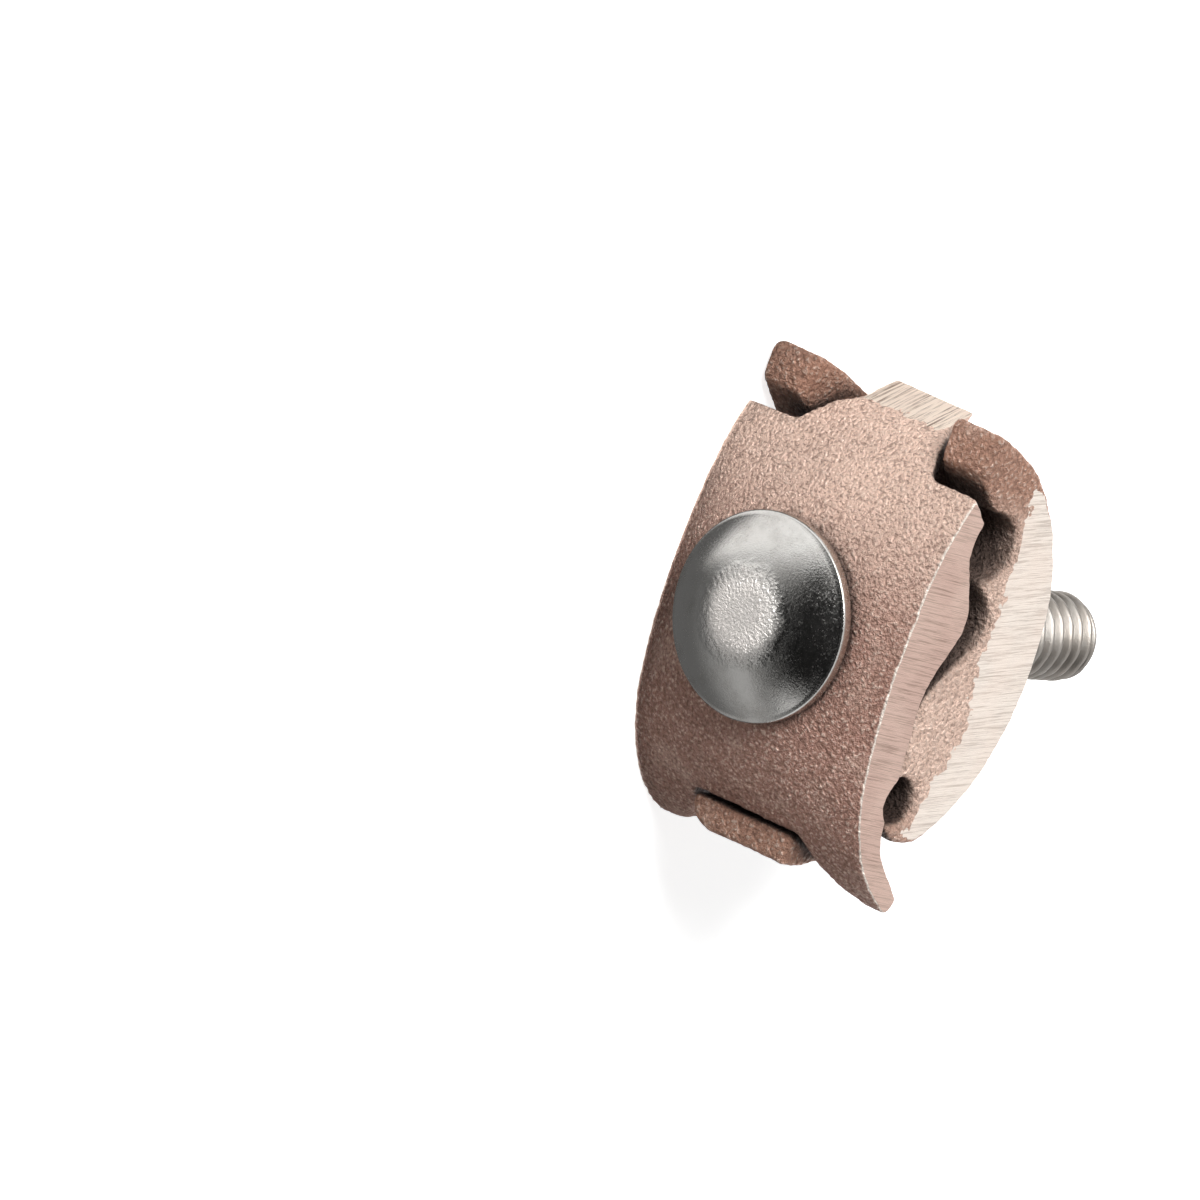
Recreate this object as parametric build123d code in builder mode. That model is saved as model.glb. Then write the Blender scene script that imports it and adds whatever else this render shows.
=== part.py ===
from build123d import *
from math import radians, tan
import os

# Grounding cable clamp: two cast jaws that hook into each other on a carriage bolt, in millimetres.
# The clamp lies on the ground sides of its jaws, with +Z up. The bolt runs along Y with its head facing
# -Y, and the nose of the front jaw points to -X. In the jaws' sketches, "along" is measured from the bolt
# axis towards the lobes, and "depth" from the plane under the bolt head towards the bolt's end.

os.makedirs("parts", exist_ok=True)

# Bolt: 5/16-18 UNC x 1 3/4 in
bolt_diameter = 7.94
bolt_length = 44.45
bolt_chamfer = 0.8
head_diameter = 18.3
head_height = 3.9
head_rim = 1.2
head_flat = 7.3
head_bulge = 0.35
neck_width = 8.1
neck_depth = 5.0
neck_corner = 0.6

# Nut and split lock washer for that bolt
nut_width = 12.7
nut_height = 6.75
nut_face_diameter = 12.3
nut_chamfer = 1.2
nut_chamfer_reach = 2.2
nut_turn = 15
washer_wall = 3.33
washer_thickness = 2.0
washer_slit = 1.2
washer_slit_slant = 1.6
thread_clearance = 0.05
washer_clearance = 0.15

# Both jaws
jaw_width = 25.9
jaw_gap = 0.15
land_depth = 7.5
land_along = 4.6
land_end_along = 8.8
land_rise = 0.4
tray_wire_diameter = 6.0
tray_wire_along = -11.2
tray_wire_depth = 11.0
conductor_diameter = 4.1
conductor_along = 11.9
conductor_depth = 9.1
wire_clearance = 0.1

# Front jaw
arch_top_along = 0.6
arch_top_depth = -0.8
nose_along = -18.9
nose_depth = 10.2
nose_back_along = -20.9
nose_back_depth = 14.7
nose_inner_along = -16.3
nose_inner_depth = 10.2
nose_half_width = 4.6
lobe_along = 22.0
lobe_depth = 12.0
lobe_thickness = 1.4
lobe_end_slant = 0.9
crest_along = -5.0
crest_depth = 10.35
heel_bend_along = 15.4
heel_bend_depth = 8.1
edge_depth = 2.6
edge_crown = 0.9
edge_fall = 3.6
nose_edge_rise = 1.4
notch_floor_along = -15.6
notch_floor_depth = 6.3
notch_floor_angle = 46
notch_floor_length = 12
notch_wall_depth = 5.3
notch_shoulder = 1.2
notch_flare = 0.2
notch_room = 1.5
lower_notch_half_width = 6.0
lower_notch_along = 17.4
lobe_end_width = 2.8
lobe_end_fall = 0.9
notch_corner = 1.5
neck_clearance = 0.15

# Rear jaw
back_depth = 21.9
seat_cut = 0.9
back_seat_diameter = 16.5
back_heel_along = 14.6
back_heel_depth = 14.3
heel_bulge_along = 15.7
heel_bulge_depth = 11.2
lower_back_along = 8.8
lower_back_fall = 2.5
upper_back_along = -10.2
upper_back_fall = 1.5
shoulder_along = -17.9
shoulder_depth = 14.6
bore_diameter = 8.8
finger_tip_depth = 6.1
finger_top_along = -21.5
finger_back_along = -20.2
finger_tip_slant = 0.3
finger_under_along = -17.8
finger_bend_along = -14.9
finger_bend_depth = 9.5
groove_lip_along = -13.6
valley_back_half_width = 5.5
valley_depth = 14.0
tip_radius = 0.9
tip_rounding = 0.3
finger_flank_angle = 17.5
ridge_along = -7.7
ridge_depth = 11.2
relief_along = -3.9
relief_depth = 13.6
ramp_along = 0.4
ramp_depth = 10.2
lip_along = 14.3
hook_half_width = 5.7
hook_corner = 2.4
hook_gap = 0.3
hook_thickness = 2.8
hook_tip_depth = 5.6
hook_inner_depth = 11.0
hook_back_along = 19.5
hook_back_depth = 12.8
hook_radius = 0.6
hook_root = 1.5
ground_depth = 14.9
side_draft = 0.5

# Longer than any piece, for cuts that go right through, and a short way past a face
through = 60
margin = 1

# Half the width between the fingers at their tips and at the front jaw's crest, and the notches beside them
flank_slope = tan(radians(finger_flank_angle))
notch_front_half_width = valley_back_half_width + (valley_depth - finger_tip_depth) * flank_slope + notch_flare
notch_back_half_width = valley_back_half_width + (valley_depth - ridge_depth) * flank_slope - notch_room

back_seat_depth = back_depth - seat_cut
washer_outer = bolt_diameter + 2 * (washer_clearance + washer_wall)

# Frame: the origin is under the middle of the whole clamp
half_width = jaw_width / 2
bolt_x = -(finger_top_along + tip_rounding + lobe_along) / 2
seat_y = -(bolt_length - head_height) / 2
lowest = Plane(origin=(bolt_x, seat_y, 0), x_dir=(1, 0, 0), z_dir=(0, 0, 1))
middle = lowest.offset(half_width)
highest = lowest.offset(jaw_width)
# Across the bolt, with the sketch's x along -Z and its y along +X, seen from the head's side
face = Plane(origin=(bolt_x, seat_y, half_width), x_dir=(0, 0, -1), z_dir=(0, -1, 0))
# Across the jaws' length, with the sketch's x along +Z and its y along the bolt
cross = Plane(origin=(bolt_x, seat_y, half_width), x_dir=(0, 0, 1), z_dir=(-1, 0, 0))
bolt_axis = Axis(origin=(bolt_x, seat_y, half_width), direction=(0, 1, 0))


def front_section(plane, arched):
    """The front jaw's section: the same inner wave, under the full arch or under the flatter side edge."""
    with BuildSketch(plane) as section:
        with BuildLine():
            if arched:
                front = ThreePointArc(
                    (nose_along, nose_depth),
                    (arch_top_along, arch_top_depth),
                    (lobe_along, lobe_depth),
                )
            else:
                front = Spline(
                    (nose_along, nose_depth - nose_edge_rise),
                    (notch_floor_along, edge_depth + edge_fall),
                    (crest_along, edge_depth + edge_crown / 2),
                    (land_along, edge_depth),
                    (conductor_along, edge_depth + edge_crown),
                    (lower_notch_along, edge_depth + edge_fall),
                    (lobe_along, lobe_depth),
                )
            tip = Line(front @ 1, (lobe_along - lobe_thickness, lobe_depth + lobe_end_slant))
            land = Line((land_end_along, land_depth + land_rise), (land_along, land_depth))
            Spline(
                tip @ 1,
                (heel_bend_along, heel_bend_depth),
                land @ 0,
                tangents=((-1, -1), land % 0),
            )
            wave = Spline(
                land @ 1,
                (crest_along, crest_depth),
                (tray_wire_along, tray_wire_depth - tray_wire_diameter / 2),
                (nose_inner_along, nose_inner_depth),
                (nose_back_along, nose_back_depth),
                tangents=(land % 1, (nose_back_along - nose_inner_along, nose_back_depth - nose_inner_depth)),
            )
            Line(wave @ 1, front @ 0)
        make_face()
    return section.sketch


# The two round channels across both jaws
with BuildSketch(lowest) as wire_channels:
    with Locations((tray_wire_along, tray_wire_depth)):
        Circle(tray_wire_diameter / 2 + wire_clearance)
    with Locations((conductor_along, conductor_depth)):
        Circle(conductor_diameter / 2 + wire_clearance)


# Room for the rear jaw's two fingers, with a floor and a wall that slant as the fingers do
with BuildPart() as finger_notches:
    with BuildSketch(lowest):
        with BuildLine():
            floor = PolarLine((notch_floor_along, notch_floor_depth), notch_floor_length, notch_floor_angle)
            Polyline(
                floor @ 1,
                (-through, (floor @ 1).Y),
                (-through, -through),
                floor @ 0 - notch_floor_length * (floor % 0),
                floor @ 0,
            )
        make_face()
    extrude(amount=jaw_width)
    with BuildSketch(cross):
        with BuildLine():
            Polyline(
                (notch_front_half_width, notch_wall_depth),
                (notch_back_half_width, ridge_depth),
                (notch_back_half_width, through),
                (half_width + margin, through),
                (half_width + margin, -through),
                (notch_front_half_width, -through),
                close=True,
            )
        make_face()
        mirror(about=Plane.YZ)
    extrude(amount=through, both=True, mode=Mode.INTERSECT)
    inner_edges = edges().filter_by(lambda edge: abs(edge.center().Z - half_width) < half_width - margin)
    floor_corners = [edge for group in inner_edges.group_by(Axis.X)[-4:-1] for edge in group]
    fillet(floor_corners, notch_corner)


with BuildPart() as front_jaw:
    loft([front_section(lowest, False), front_section(middle, True), front_section(highest, False)])
    with BuildSketch(face.offset(through)):
        with BuildLine():
            outline = Polyline(
                (0, -through),
                (nose_half_width, -through),
                (nose_half_width, nose_along),
                (notch_front_half_width, notch_floor_along - notch_shoulder),
                (half_width, notch_floor_along - notch_shoulder),
                (half_width, lobe_along),
            )
            lobe = ThreePointArc(
                outline @ 1,
                (lower_notch_half_width + lobe_end_width, lobe_along - lobe_end_fall),
                (lower_notch_half_width, lower_notch_along),
            )
            Line(lobe @ 1, (0, lower_notch_along))
            mirror(about=Plane.YZ)
        make_face()
    extrude(amount=-2 * through, mode=Mode.INTERSECT)
    add(finger_notches.part, mode=Mode.SUBTRACT)
    extrude(wire_channels.sketch, amount=jaw_width, mode=Mode.SUBTRACT)
    # Flat seat under the bolt head, and the square hole for its neck
    with BuildSketch(face):
        Circle(head_diameter / 2)
    extrude(amount=through, mode=Mode.SUBTRACT)
    with BuildSketch(face):
        RectangleRounded(neck_width + 2 * neck_clearance, neck_width + 2 * neck_clearance, neck_corner)
    extrude(amount=-through, mode=Mode.SUBTRACT)


hook_top_along = lower_notch_along + hook_gap
# Single hook in the front jaw's lower notch
with BuildPart() as hook:
    with BuildSketch(lowest):
        with BuildLine():
            Polyline(
                (hook_top_along, hook_tip_depth),
                (hook_top_along + hook_thickness, hook_tip_depth),
                (hook_top_along + hook_thickness, (hook_tip_depth + hook_inner_depth) / 2),
                (hook_back_along, hook_back_depth),
                (back_heel_along - hook_root, back_heel_depth),
                (lip_along - hook_root, conductor_depth),
                (hook_top_along, hook_inner_depth),
                close=True,
            )
        make_face()
    extrude(amount=jaw_width)
    with BuildSketch(face):
        with BuildLine():
            Polyline(
                (-hook_half_width, 0),
                (-hook_half_width, hook_top_along + hook_thickness),
                (hook_half_width, hook_top_along + hook_thickness),
                (hook_half_width, 0),
                close=True,
            )
        make_face()
        fillet(vertices().sort_by(Axis.X)[-2:], hook_corner)
    extrude(amount=-through, mode=Mode.INTERSECT)
    hook_tip = faces().sort_by(Axis.Y)[0]
    fillet(hook_tip.edges().sort_by(Axis.X)[-1:], hook_radius)


with BuildPart() as rear_jaw:
    with BuildSketch(lowest):
        with BuildLine():
            under = Polyline(
                (finger_under_along, finger_tip_depth),
                (finger_bend_along, finger_bend_depth),
                (groove_lip_along, ridge_depth),
                (ridge_along, ridge_depth),
            )
            wave = Spline(
                under @ 1,
                (relief_along, relief_depth),
                (ramp_along, ramp_depth),
                (land_along, land_depth + jaw_gap),
            )
            land = Line(wave @ 1, (land_end_along, land_depth + land_rise + jaw_gap))
            lip = Line(land @ 1, (lip_along, heel_bend_depth + 2 * jaw_gap))
            heel = ThreePointArc(
                lip @ 1,
                (heel_bulge_along, heel_bulge_depth),
                (back_heel_along, back_heel_depth),
            )
            lower_back = ThreePointArc(
                heel @ 1,
                (lower_back_along, back_depth - lower_back_fall),
                (0, back_depth),
            )
            upper_back = ThreePointArc(
                lower_back @ 1,
                (upper_back_along, back_depth - upper_back_fall),
                (shoulder_along, shoulder_depth),
            )
            finger_top = ThreePointArc(
                upper_back @ 1,
                (finger_back_along, (shoulder_depth + finger_tip_depth) / 2),
                (finger_top_along, finger_tip_depth + finger_tip_slant),
            )
            Line(finger_top @ 1, under @ 0)
        make_face()
    extrude(amount=jaw_width)
    # Valley between the two fingers, where the nose passes
    with BuildSketch(face.offset(-valley_depth)):
        with BuildLine():
            Polyline(
                (-valley_back_half_width, -through),
                (valley_back_half_width, -through),
                (valley_back_half_width, groove_lip_along),
                (-valley_back_half_width, groove_lip_along),
                close=True,
            )
        make_face()
    extrude(amount=valley_depth, taper=-finger_flank_angle, mode=Mode.SUBTRACT)
    finger_tips = faces().group_by(Axis.Y)[0]
    fillet(finger_tips.edges(), tip_radius)
    add(hook.part)
    extrude(wire_channels.sketch, amount=jaw_width, mode=Mode.SUBTRACT)
    # The side faces are ground only at the back, and drafted in front of that
    with BuildSketch(cross):
        with BuildLine():
            Polyline(
                (half_width, ground_depth),
                (half_width + margin, ground_depth),
                (half_width + margin, -through),
                (half_width - side_draft, -through),
                (half_width - side_draft, finger_tip_depth),
                close=True,
            )
        make_face()
        mirror(about=Plane.YZ)
    extrude(amount=through, both=True, mode=Mode.SUBTRACT)
    # Bore for the bolt and flat seat for the washer
    with BuildSketch(face):
        Circle(bore_diameter / 2)
    extrude(amount=-through, mode=Mode.SUBTRACT)
    with BuildSketch(face.offset(-back_seat_depth)):
        Circle(back_seat_diameter / 2)
    extrude(amount=-through, mode=Mode.SUBTRACT)


with BuildPart() as carriage_bolt:
    with BuildSketch(middle):
        with BuildLine():
            flat = Line((0, -head_height), (head_flat / 2, -head_height))
            dome = ThreePointArc(
                flat @ 1,
                ((head_flat + head_diameter) / 4, -(head_height + head_rim) / 2 - head_bulge),
                (head_diameter / 2, -head_rim),
            )
            Polyline(
                dome @ 1,
                (head_diameter / 2, 0),
                (bolt_diameter / 2, 0),
                (bolt_diameter / 2, bolt_length - bolt_chamfer),
                (bolt_diameter / 2 - bolt_chamfer, bolt_length),
                (0, bolt_length),
                flat @ 0,
            )
        make_face()
    revolve(axis=bolt_axis)
    with BuildSketch(face):
        RectangleRounded(neck_width, neck_width, neck_corner)
    extrude(amount=-neck_depth)


with BuildPart() as lock_washer:
    with BuildSketch(face.offset(-back_seat_depth)):
        Circle(washer_outer / 2)
        Circle(bolt_diameter / 2 + washer_clearance, mode=Mode.SUBTRACT)
    extrude(amount=-washer_thickness)
    with BuildSketch(middle):
        with BuildLine():
            Polyline(
                (-washer_slit_slant / 2 - washer_slit / 2, back_seat_depth),
                (-washer_slit_slant / 2 + washer_slit / 2, back_seat_depth),
                (washer_slit_slant / 2 + washer_slit / 2, back_seat_depth + washer_thickness),
                (washer_slit_slant / 2 - washer_slit / 2, back_seat_depth + washer_thickness),
                close=True,
            )
        make_face()
    extrude(amount=washer_outer, mode=Mode.SUBTRACT)


nut_seat_depth = back_seat_depth + washer_thickness
with BuildPart() as hex_nut:
    with BuildSketch(face.offset(-nut_seat_depth)):
        RegularPolygon(radius=nut_width / 2, side_count=6, major_radius=False, rotation=nut_turn)
    extrude(amount=-nut_height)
    with BuildSketch(middle):
        with BuildLine():
            Polyline(
                (0, nut_seat_depth),
                (nut_face_diameter / 2, nut_seat_depth),
                (nut_face_diameter / 2 + nut_chamfer_reach, nut_seat_depth + nut_chamfer),
                (nut_face_diameter / 2 + nut_chamfer_reach, nut_seat_depth + nut_height - nut_chamfer),
                (nut_face_diameter / 2, nut_seat_depth + nut_height),
                (0, nut_seat_depth + nut_height),
                close=True,
            )
        make_face()
    revolve(axis=bolt_axis, mode=Mode.INTERSECT)
    with BuildSketch(face):
        Circle(bolt_diameter / 2 + thread_clearance)
    extrude(amount=-through, mode=Mode.SUBTRACT)


pieces = {
    "front_jaw": front_jaw,
    "rear_jaw": rear_jaw,
    "carriage_bolt": carriage_bolt,
    "lock_washer": lock_washer,
    "hex_nut": hex_nut,
}
for name, piece in pieces.items():
    piece.part.label = name
    export_step(piece.part, f"parts/{name}.step")
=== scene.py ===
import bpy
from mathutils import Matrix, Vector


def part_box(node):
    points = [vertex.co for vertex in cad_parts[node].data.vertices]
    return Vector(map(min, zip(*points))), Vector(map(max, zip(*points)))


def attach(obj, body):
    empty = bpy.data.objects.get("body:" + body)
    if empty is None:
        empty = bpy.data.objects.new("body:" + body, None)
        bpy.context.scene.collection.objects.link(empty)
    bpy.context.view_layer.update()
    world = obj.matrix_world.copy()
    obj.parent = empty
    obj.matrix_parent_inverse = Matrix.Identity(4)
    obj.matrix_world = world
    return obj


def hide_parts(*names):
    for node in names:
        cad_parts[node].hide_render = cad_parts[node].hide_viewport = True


bl_info = {
    "name": "Grounding cable clamp finish",
    "version": (1, 0, 0),
    "blender": (4, 5, 0),
    "location": "View3D > Sidebar > Clamp",
    "description": "Finishes a grounding cable clamp: sand-cast jaws, and a plated bolt, washer and nut",
    "category": "Object",
}

import math

import bmesh
import bpy
from bpy.props import FloatProperty, FloatVectorProperty, IntProperty, PointerProperty
from mathutils import Matrix, Vector, noise

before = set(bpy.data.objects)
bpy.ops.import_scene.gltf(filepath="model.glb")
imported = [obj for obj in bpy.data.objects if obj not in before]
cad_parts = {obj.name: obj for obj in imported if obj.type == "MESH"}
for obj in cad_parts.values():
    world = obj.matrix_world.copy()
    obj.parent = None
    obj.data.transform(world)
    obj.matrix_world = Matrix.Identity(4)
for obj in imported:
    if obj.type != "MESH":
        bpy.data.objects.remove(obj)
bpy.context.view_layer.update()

MM = 0.001
MERGE_DISTANCE = 1e-6
WHITE = (1, 1, 1, 1)

BOLT_LOW, BOLT_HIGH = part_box("carriage_bolt")
NUT_LOW, NUT_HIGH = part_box("hex_nut")
BOLT_X = (BOLT_LOW.x + BOLT_HIGH.x) / 2
BOLT_Z = (BOLT_LOW.z + BOLT_HIGH.z) / 2
HEAD_HEIGHT = 3.9 * MM
# Depths count along the bolt from here, where its head sits on the front jaw.
SEAT_Y = BOLT_LOW.y + HEAD_HEIGHT

# Material slots of a jaw and of the bolt.
SANDY, GROUND, NOSE = 0, 1, 2
HEAD, THREAD = 0, 1

# The colour sockets of a Mix node, which has several sockets of one name.
MIX_INPUTS, MIX_RESULT = (0, 6, 7), 2

# A range holds what mapped() takes: from low, from high, and where it isn't 0 to 1, to low, to high.
# Sand grain: sizes, what each layer adds to the height, and the heights of hollows and tops.
FINE_SIZE, PATCH_SIZE, CELL_SCALE = 0.13 * MM, 7 * MM, 0.8
LUMP_SHARE, CELL_SHARE, FINE_SHARE = 0.7, 0.3, 0.22
HOLLOW_RANGE, TOP_RANGE, PATCH_RANGE = (0.60, 0.47), (0.63, 0.80), (0.35, 0.65)
# Sandy skin: random patches that lighten its darker end in places, and how much the tops and the stains
# show.
UNEVEN_SIZE, UNEVEN_RANGE = 3.5 * MM, (0.52, 0.68, 1.0, 0.78)
TOP_SHARE, STAIN_SHARE = 0.7, 0.12
SKIN_RANGE, SKIN_COARSER, SKIN_SMOOTHER = (0.45, 0.8), 0.14, 0.1
# Painted shade in corners, grooves and gaps, by how open a place is to its surroundings and how high
# over the floor.
OPEN_RANGE, OPEN_SAMPLES, OVER_FLOOR_RANGE = (0.82, 0.36), 8, (0.0, 5 * MM, 0.25, 0.95)
# Burr at the ground sides: how ragged it is, and how far in and out it reaches.
BURR_SIZE, BURR_RAGGED, BURR_IN, BURR_OUT = 0.7 * MM, 0.3 * MM, 0.06 * MM, 0.09 * MM
# Ground metal: its lines and the slow pink clouds in it.
LINE_RANGE, CLOUD_SIZE, CLOUD_RANGE, CLOUD_SHARE = (0.51, 0.39), 5 * MM, (0.3, 0.7), 0.22
GROUND_RANGE, GROUND_COARSER, GROUND_SMOOTHER = (0.3, 0.7), 0.12, 0.06
LINE_BUMP = 0.09 * MM
# Steel: its stains and fine scratches.
STAIN_SIZE, STAIN_RANGE, DULL_RANGE = 2.2 * MM, (0.42, 0.72, 0.0, 0.55), (0.3, 0.7, -0.03, 0.06)
SCRATCH_SIZE, SCRATCH_BUMP = 0.16 * MM, 0.02 * MM
# Struck spot: where it and the creases round it begin and are full, as shares of its radius.
SPOT_REACH, CREASES_OUTSIDE, CREASES_INSIDE = (1.6, 0.85), (1.7, 1.05), (0.4, 0.95)
SPOT_RAGGED, SPOT_BUMP, SPOT_SHARE, SPOT_ROUGHER = 0.9 * MM, 0.26 * MM, 0.85, 0.3
CREASE_SIZE, CREASE_LENGTH, DENT_SIZE, DENT_SHARE = 0.1, 4.5 * MM, 0.27 * MM, 0.8
FLECK_SIZE, FLECK_RANGE, SPOT_METAL_RANGE = 0.2 * MM, (0.45, 0.75, 0.0, 0.16), (0.0, 1.0, 1.0, 0.72)

# Castings: how squarely a side's vertices face out, the second layer of lumps as shares of the
# first, and the band at the nose's end in mesh cells.
FACING, SMOOTH_FACTOR = 0.9, 0.5
SECOND_LUMP_SIZE, SECOND_LUMP_HEIGHT = 2.3, 0.6
NOSE_BAND = 0.75

# Head: the curve of its dome, what that lifts the rim by, and its steps.
DOME_CURVE, RIM_LIFT = 2.2, 0.2
DOME_STEPS, RIM_STEPS, SEAT_STEPS = 36, 6, 4
# Square neck: what counts as it, and the rounding of its corners, as shares of its width.
NECK_ABOVE, NECK_WITHIN, NECK_CORNER, NECK_STEPS = 0.5 * MM, 0.75, 1.3, 8
# Rings of the profile between head, neck and thread, and at the bolt's end.
SEAT_RING, NECK_FOOT, THREAD_CLEARANCE = 0.8, 0.05 * MM, 0.5 * MM
END_EDGE, END_RING = 0.02 * MM, 0.6
THREAD_WITHIN, CHAMFER_SLOPE, BOLT_CREASE = 0.9, 0.9, math.radians(38)
# Thread: its crest and flank as shares of half a turn, and the rounding of its root.
CREST_SHARE, FLANK_SHARE, ROOT_ROUNDING = 0.06, 0.82, 0.9
# Nut: its chamfer as a share of half its width and a slope, and its thread.
NUT_STEPS, FACE_RING, NUT_CREASE = 24, 0.96, math.radians(22)
NUT_CORNER_WITHIN, NUT_CHAMFER, NUT_CHAMFER_SLOPE = 0.99, 0.97, 1.9
BORE_WITHIN, NUT_THREAD_SHARE, NUT_MOUTH, MOUTH_SLOPE = 0.1 * MM, 0.85, 0.5 * MM, 0.9
WASHER_EDGE, WASHER_SEGMENTS, WASHER_CREASE = 0.12 * MM, 2, math.radians(40)

# Camera: the directions of the photograph's right and top, and where the head's rim stands in it.
PHOTO_RIGHT = Vector((-0.2976, 0.5943, 0.7471))
PHOTO_UP = Vector((-0.9386, -0.0392, -0.3427))
FOCAL_PIXELS, RIM_ASIDE_PIXELS, RIM_BELOW_PIXELS = 13796.5, 156.94, 16.22
RIM_DEPTH = -1.2 * MM
SENSOR_WIDTH, CLIP_START, CLIP_END = 36, 0.1, 10
FLOOR_SIZE, FLOOR_ROUGHNESS = 2.0, 0.9
# Low card: (steepness, brightness) of what the head mirrors in it, and where it hides the floor.
GLOW = ((0.02, 0.02), (0.06, 0.22), (0.13, 0.62), (0.31, 0.48), (0.57, 0.26), (0.9, 0.15))
STEEPEST, NEAREST = 3.0, 2.5 * MM
ASIDE_RANGE, STEEP_RANGE = (-1.1, -0.35, 0.2, 1.0), (1.6, 4.0)
LAMP_DISTANCE = 0.8
KEY_TOWARD, KEY_SIZE = (-0.62, -0.46, 0.64), 0.35
SIDE_TOWARD, SIDE_SIZE = (-0.86, -0.48, 0.20), 0.6


def number(name, description, default, **limits):
    """A property that holds a plain number."""
    return FloatProperty(name=name, description=description, default=default, **limits)


def length(name, description, default, **limits):
    """A property that holds a length in metres."""
    return number(name, description, default, unit="LENGTH", precision=5, **limits)


def angle(name, description, degrees):
    """A property that holds an angle."""
    return number(name, description, math.radians(degrees), subtype="ANGLE")


def share(name, description, default):
    """A property from 0 to 1."""
    return number(name, description, default, subtype="FACTOR", min=0.0, max=1.0)


def count(name, description, default, least=0):
    """A property that holds a whole number."""
    return IntProperty(name=name, description=description, default=default, min=least)


def colour(name, description, default):
    """A property that holds a colour."""
    return FloatVectorProperty(
        name=name, description=description, default=default, subtype="COLOR", size=3, min=0.0, max=1.0
    )


def sides(name, description, default):
    """A property that holds the two sides of a rectangle in metres."""
    return FloatVectorProperty(
        name=name, description=description, default=default, size=2, unit="LENGTH"
    )


class CastingSettings(bpy.types.PropertyGroup):
    """Sizes and colours of the two cast jaws"""

    cell: length("Mesh cell", "Size of the castings' mesh cells", 0.26 * MM, min=0.15 * MM)
    smoothing: count("Edge smoothing", "Rounds of smoothing of the front jaw's cast edges", 5)
    rear_smoothing: count("Rear edge smoothing", "Rounds of smoothing of the rear jaw's edges", 12)
    lump: length("Lump size", "Size of the sand's coarse lumps", 0.5 * MM)
    lump_height: length("Lump height", "How far the sand's lumps stand out", 0.07 * MM)
    swell: length("Swell size", "Size of the slow waves in the cast skin", 4 * MM)
    swell_height: length("Swell height", "How far the slow waves stand out", 0.08 * MM)
    stock: length("Grinding stock", "Metal that is ground off the front jaw's faces", 0.35 * MM)
    ground_depth: length("Ground depth", "Where the rear jaw's ground side starts", 15.0 * MM)
    ground_sag: number("Ground sag", "Bend of that border below the bolt, per metre", 21.0)
    ground_climb: number("Ground climb", "Slope of that border above the bolt", 0.09)
    stock_slope: number("Stock slope", "Growth of the rear jaw's stock per depth", 0.055)
    draft_reach: length("Draft reach", "How far a drafted side may lie from its plane", 0.6 * MM)
    nose_x: length("Nose end", "Place of the nose's ground end, from the bolt", -18.9 * MM)
    nose_depth: length("Nose depth", "Depth of the ground end at its front edge", 10.2 * MM)
    nose_slope: angle("Nose slope", "Angle of the nose's ground end to the bolt", 24)
    nose_border: length("Nose border", "From the front edge to where grinding starts", 0.4 * MM)
    nose_stock: number("Nose stock", "Growth of the nose's stock per depth", 0.08)
    skin: colour("Skin", "The sand-cast skin", (0.93, 0.685, 0.565))
    # Painted shade: the front jaw's skin turns to this colour towards its lobes, where less light falls.
    skin_painted_shade: colour("Tarnished skin", "Towards the front jaw's lobes", (0.45, 0.255, 0.20))
    finger_skin: colour("Finger skin", "The rear jaw's fingers and hook", (0.50, 0.28, 0.20))
    skin_dark: colour("Skin hollows", "The hollows between the grains", (0.19, 0.11, 0.082))
    # Painted shade: dark colour laid where shadow falls in corners, grooves and gaps.
    corner_shade: colour("Grime", "Dark tarnish in the corners and grooves", (0.03, 0.018, 0.014))
    skin_pale: colour("Skin tops", "The worn tops of the grains", (0.95, 0.745, 0.63))
    ground: colour("Ground metal", "The rear jaw's ground sides", (0.98, 0.88, 0.79))
    ground_front: colour("Front ground metal", "The front jaw's ground sides", (0.63, 0.43, 0.36))
    ground_nose: colour("Nose metal", "The nose's ground end", (0.90, 0.765, 0.65))
    ground_line: colour("Ground scratches", "Deeper scratches in ground metal", (0.22, 0.14, 0.10))
    skin_roughness: share("Skin roughness", "Roughness of the sand-cast skin", 0.47)
    ground_roughness: share("Ground roughness", "Roughness of the ground faces", 0.38)
    skin_metal: share("Skin metal", "How metallic the sand-cast skin looks", 0.6)
    ground_metal: share("Ground metal share", "How metallic the ground faces look", 0.5)
    slant: angle("Line slant", "Angle of the sides' grinding lines to the jaws' length", 6)


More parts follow.
